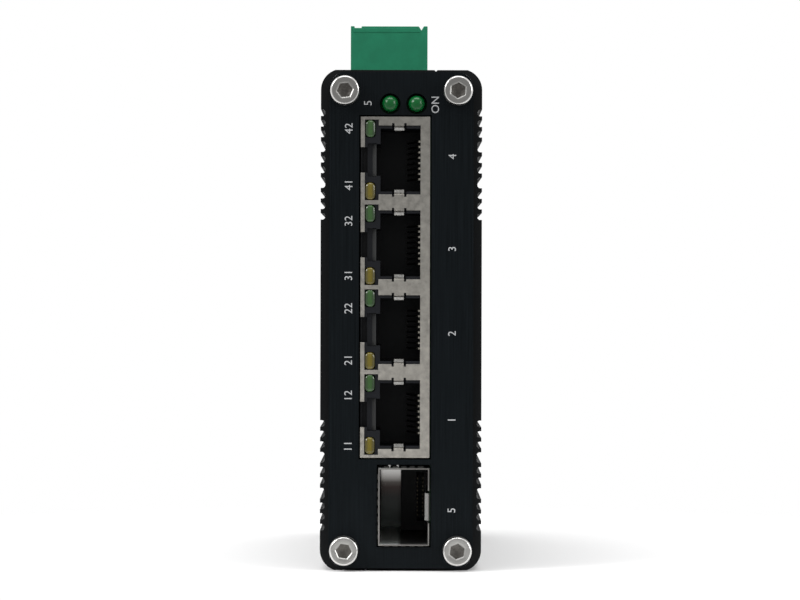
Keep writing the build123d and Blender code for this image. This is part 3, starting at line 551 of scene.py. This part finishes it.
def latch_slope(name, jack_z, material):
    """A three-sided bar along Z on the edge of a latch's ledge."""
    bm = bmesh.new()
    ends = []
    for side in (-1, 1):
        place = Vector((0, shield_low.y, jack_z + side * slope_reach * MM))
        ends.append([bm.verts.new(place + Vector((x, y, 0)) * MM) for x, y in slope_corners])
    first, last = ends
    bm.faces.new(first)
    bm.faces.new(last)
    for i in range(3):
        j = (i + 1) % 3
        bm.faces.new((first[i], first[j], last[j], last[i]))
    return trim(new_object(name, mesh_from(bm, name), material))


insulator = materials["insulator_black"]
# Painted light: the sloped edge is a lighter copy of the insulator; its tilt also catches real light.
slope_painted_light = plastic("slope_painted_light", (0.012, 0.013, 0.013), 0.3, specular=0.6)
shield_low, shield_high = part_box("jack_shield")
for row in range(4):
    jack_z = (shield_low.z + shield_high.z) / 2 + (row - 1.5) * jack_pitch * MM
    for color, side in (("green", 1), ("yellow", -1)):
        node = f"jack_{color}_lights"
        low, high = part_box(node)
        slot = color + "_lens"
        middle = Vector(((low.x + high.x) / 2, low.y, jack_z + side * lens_from_middle * MM))
        lens(f"{slot}_{row + 1}", middle, materials[slot], slot, node)
    middle = Vector((shield_low.x + notch_shade_size[0] / 2 * MM, shield_low.y + notch_depth * MM, jack_z))
    # Painted shade: a black block stands in for the shade on the shield's cut edge in the notch.
    small_block(f"notch_shade_block_{row + 1}", notch_shade_size, middle, insulator)
    latch_slope(f"latch_slope_{row + 1}", jack_z, slope_painted_light)


# Turned pieces

screw_sides = 96
light_sides = 64
head_radius = 2.75
head_height = 3.0
rim_width = 0.35
rim_height = 0.65
shank_radius = 1.45
shank_depth = 7.5
socket_flats = 2.5
# Painted shade in the hex sockets and a painted highlight on the rims: darker and near-white copies of
# the screw steel.
socket_shaded_steel = metal("socket_shaded_steel", (0.21, 0.2, 0.185), 0.5)
rim_glint_steel = metal("rim_glint_steel", (0.8, 0.79, 0.77), 0.16, relief=0.002)


def turned(name, profile, place, axis_out, material, count):
    """A turned piece: profile rows are (radius, height) with the radius a number or a rule of angle."""
    bm = bmesh.new()
    rows = []
    for radius, height in profile:
        row = []
        for i in range(count):
            angle = 2 * math.pi * i / count
            reach = (radius(angle) if callable(radius) else radius) * MM
            spot = Vector((reach * math.cos(angle), axis_out * height * MM, reach * math.sin(angle)))
            row.append(bm.verts.new(place + spot))
        rows.append(row)
    for low, high in zip(rows, rows[1:]):
        for i in range(count):
            j = (i + 1) % count
            bm.faces.new((low[i], low[j], high[j], high[i]))
    bm.faces.new(rows[0])
    bm.faces.new(rows[-1])
    mesh = mesh_from(bm, name)
    smooth(mesh, 28)
    return new_object(name, mesh, material)


def hexagon(across_flats, turn, extra=0.0):
    """Radius of a hexagon at an angle, turned by some degrees and widened by an extra."""

    def radius(angle):
        step = math.radians(60)
        part = (angle - math.radians(turn)) % step - step / 2
        return across_flats / 2 / math.cos(part) + extra

    return radius


def cap_screw(name, x, height, face_y, out, turn):
    """Socket cap screw: rounded rim with a painted highlight, flat face, and a hexagonal socket with
    painted shade.
    """
    step = 360 / screw_sides
    turn = round(turn / step) * step
    arc = [math.radians(degrees) for degrees in range(0, 91, 18)]
    rim_foot = head_height - rim_height
    profile = [(shank_radius, -shank_depth), (shank_radius, 0), (head_radius - 0.03, 0.02)]
    rim_from = len(profile) + 1
    profile += [(head_radius, 0.12)]
    profile += [
        (head_radius - rim_width * (1 - math.cos(a)), rim_foot + rim_height * math.sin(a)) for a in arc
    ]
    rim_to = len(profile) - 1
    profile += [(head_radius - 0.45, head_height)]
    profile += [(hexagon(socket_flats, turn, 0.36), head_height)]
    profile += [(hexagon(socket_flats, turn, 0.28), head_height - 0.02)]
    profile += [(hexagon(socket_flats, turn, 0.06), head_height - 0.16)]
    socket_from = len(profile)
    profile += [(hexagon(socket_flats, turn), head_height - 0.24)]
    profile += [(hexagon(socket_flats, turn), head_height - 1.25), (0.9, 1.6), (0.05, 1.2)]
    piece = turned(
        name, profile, Vector((x * MM, face_y, height)), out, materials["screw_steel"], screw_sides
    )
    piece.data.materials.append(socket_shaded_steel)
    piece.data.materials.append(rim_glint_steel)
    polygons = piece.data.polygons
    for index in range(socket_from * screw_sides, len(polygons)):
        if len(polygons[index].vertices) == 4:
            polygons[index].material_index = 1
    polygons[len(polygons) - 1].material_index = 1
    for index in range(rim_from * screw_sides, rim_to * screw_sides):
        polygons[index].material_index = 2
    return piece


# The front screws hang a little lower than the rear ones, and each socket has its own turn
screw_x = 10.65
screw_z = 43.3
head_drop = 0.1
screw_spots = [(x, z) for z in (screw_z, -screw_z) for x in (-screw_x, screw_x)]
for side, drop, face_y, out, turns in (
    ("front", head_drop, front_y, -1, (8, 28, -6, 21)),
    ("rear", 0.0, rear_y, 1, (12, -9, 28, 2)),
):
    for number, ((x, z), turn) in enumerate(zip(screw_spots, turns), start=1):
        screw = cap_screw(f"{side}_screw_{number}", x, middle_z + (z - drop) * MM, face_y, out, turn)
        stand_for(screw, "screw_steel", f"{side}_screws")

dome_radius = 1.5
flange_radius = 1.9
flange_height = 1.0
light_low, light_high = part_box("status_lights")
light_z = (light_low.z + light_high.z) / 2
light_top = (light_high.y - light_low.y) / MM - flange_height
dome_foot = light_top - dome_radius
dome_arc = [math.radians(degrees) for degrees in range(0, 90, 6)]
for number, x in enumerate((2.85, -2.15), start=1):
    profile = [(0.6, -flange_height), (flange_radius, -flange_height), (flange_radius, 0.0)]
    profile += [(dome_radius, 0.05)]
    profile += [(dome_radius * math.cos(a), dome_foot + dome_radius * math.sin(a)) for a in dome_arc]
    profile += [(0.04, light_top)]
    place = Vector((x * MM, light_high.y - flange_height * MM, light_z))
    dome = turned(f"status_light_{number}", profile, place, -1, materials["status_green"], light_sides)
    stand_for(dome, "status_green", "status_lights")


# Plain numbers on the panel, and ON beside the power light

letter_height = 1.45
letter_thickness = 0.015
number_x = 9.6
light_number_x = -9.95
label_paint = plastic("label_paint", (0.52, 0.53, 0.54), 0.6, 0.004)


def label(name, words, x, height):
    """Printed characters that read upwards, centred at a place in millimetres on the panel."""
    curve = bpy.data.curves.new(name, "FONT")
    curve.body = words
    curve.resolution_u = 4
    curve.extrude = 0.5
    mesh = evaluated_mesh(name, curve)
    corners = [Vector(vertex.co) for vertex in mesh.vertices]
    low = Vector(min(corner[i] for corner in corners) for i in range(3))
    high = Vector(max(corner[i] for corner in corners) for i in range(3))
    middle = (low + high) / 2
    scale = letter_height * MM / (high.y - low.y)
    thick = letter_thickness * MM
    for vertex in mesh.vertices:
        along, up, out = vertex.co - middle
        depth = front_y - thick * (1 if out > 0 else -0.2)
        vertex.co = Vector((x * MM - up * scale, depth, middle_z + height * MM + along * scale))
    piece = new_object(name, mesh, label_paint)
    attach(piece, "root")
    return piece


for words, x, height in (
    ("4", number_x, 30.85),
    ("3", number_x, 13.45),
    ("2", number_x, -2.5),
    ("1", number_x, -18.8),
    ("5", number_x, -35.85),
    ("42", light_number_x, 36.1),
    ("41", light_number_x, 25.3),
    ("32", light_number_x, 18.7),
    ("31", light_number_x, 8.3),
    ("22", light_number_x, 2.2),
    ("21", light_number_x, -7.7),
    ("12", light_number_x, -14.1),
    ("11", light_number_x, -23.8),
    ("5", -6.35, 40.9),
    ("ON", 6.35, 40.6),
):
    label(f"label_{words}_{abs(round(height * 10))}", words, x, height)


# Camera and lamps

camera_distance = 620 * MM
camera_rise = 4.2 * MM
camera_side = -0.2 * MM
aim_rise = 3.8 * MM
camera_roll = math.radians(-0.15)
camera_data = bpy.data.cameras.new("camera")
camera_data.sensor_width = 36
camera_data.lens = 148
camera_data.clip_start = 0.01
camera_data.clip_end = 20
camera = bpy.data.objects.new("camera", camera_data)
scene.collection.objects.link(camera)
scene.camera = camera
pitch = math.atan2(aim_rise - camera_rise, camera_distance)
camera.location = (camera_side, front_y - camera_distance, middle_z + camera_rise)
camera.rotation_euler = (math.radians(90) + pitch, camera_roll, 0)


def area_light(name, place, size, power):
    """A rectangular lamp at a place in metres, aimed at the middle of the housing."""
    data = bpy.data.lights.new(name, "AREA")
    data.shape = "RECTANGLE"
    data.size, data.size_y = size
    data.energy = power
    light = bpy.data.objects.new(name, data)
    scene.collection.objects.link(light)
    light.location = place
    aim = Vector((0, 0, middle_z)) - Vector(place)
    light.rotation_euler = aim.to_track_quat("-Z", "Y").to_euler()
    return light


area_light("key", (-0.75, -0.42, 0.62), (0.45, 0.45), 5)
area_light("fill", (0.85, -0.38, 0.35), (0.5, 0.5), 3.5)
area_light("top", (0.0, -0.15, 1.1), (0.9, 0.5), 5)


# The world is white to the camera and to what passes through clear pieces. Metal mirrors that
# white from behind and beside the object, and the dimmer light level from in front of it.


def combine(tree, operation, first, second):
    """Two node values put through one operation."""
    node = tree.nodes.new("ShaderNodeMath")
    node.operation = operation
    tree.links.new(first, node.inputs[0])
    tree.links.new(second, node.inputs[1])
    return node.outputs["Value"]


world = bpy.data.worlds.new("studio")
scene.world = world
world.use_nodes = True
tree = world.node_tree
background = tree.nodes["Background"]
background.inputs["Color"].default_value = (1, 1, 1, 1)
rays = tree.nodes.new("ShaderNodeLightPath").outputs
direction = tree.nodes.new("ShaderNodeTexCoord")
axes = tree.nodes.new("ShaderNodeSeparateXYZ")
tree.links.new(direction.outputs["Generated"], axes.inputs["Vector"])
behind = map_range(tree, axes.outputs["Y"], (-0.55, 0.1), eased=True)
mirrored = combine(tree, "MULTIPLY", rays["Is Glossy Ray"], behind)
direct = combine(tree, "MAXIMUM", rays["Is Camera Ray"], rays["Is Transmission Ray"])
seen = combine(tree, "MAXIMUM", direct, mirrored)
level = map_range(tree, axes.outputs["Y"], (-1.0, 0.6), (0.42, 1.0))
mix = tree.nodes.new("ShaderNodeMix")
mix.data_type = "FLOAT"
mix.inputs["B"].default_value = 1.0
tree.links.new(seen, mix.inputs["Factor"])
tree.links.new(level, mix.inputs["A"])
tree.links.new(mix.outputs["Result"], background.inputs["Strength"])


# The floor keeps the shadow near the object and fades into the white further out

floor_reach = 0.6
floor_fade = (0.04, 0.15)
floor_finish = Finish("floor", (0.95, 0.95, 0.95), 0.9, Specular_IOR_Level=0.1)
tree = floor_finish.tree
place = tree.nodes.new("ShaderNodeTexCoord")
distance = tree.nodes.new("ShaderNodeVectorMath")
distance.operation = "LENGTH"
tree.links.new(place.outputs["Object"], distance.inputs[0])
clear = tree.nodes.new("ShaderNodeBsdfTransparent")
blend = tree.nodes.new("ShaderNodeMixShader")
tree.links.new(map_range(tree, distance.outputs["Value"], floor_fade, eased=True), blend.inputs[0])
tree.links.new(floor_finish.shader.outputs["BSDF"], blend.inputs[1])
tree.links.new(clear.outputs["BSDF"], blend.inputs[2])
tree.links.new(blend.outputs["Shader"], tree.nodes["Material Output"].inputs["Surface"])
floor_mesh = bpy.data.meshes.new("floor")
floor_corners = [(x * floor_reach, y * floor_reach, 0) for x, y in ((-1, -1), (1, -1), (1, 1), (-1, 1))]
floor_mesh.from_pydata(floor_corners, [], [(0, 1, 2, 3)])
floor = new_object("floor", floor_mesh, floor_finish.material)

scene.view_settings.view_transform = "Standard"
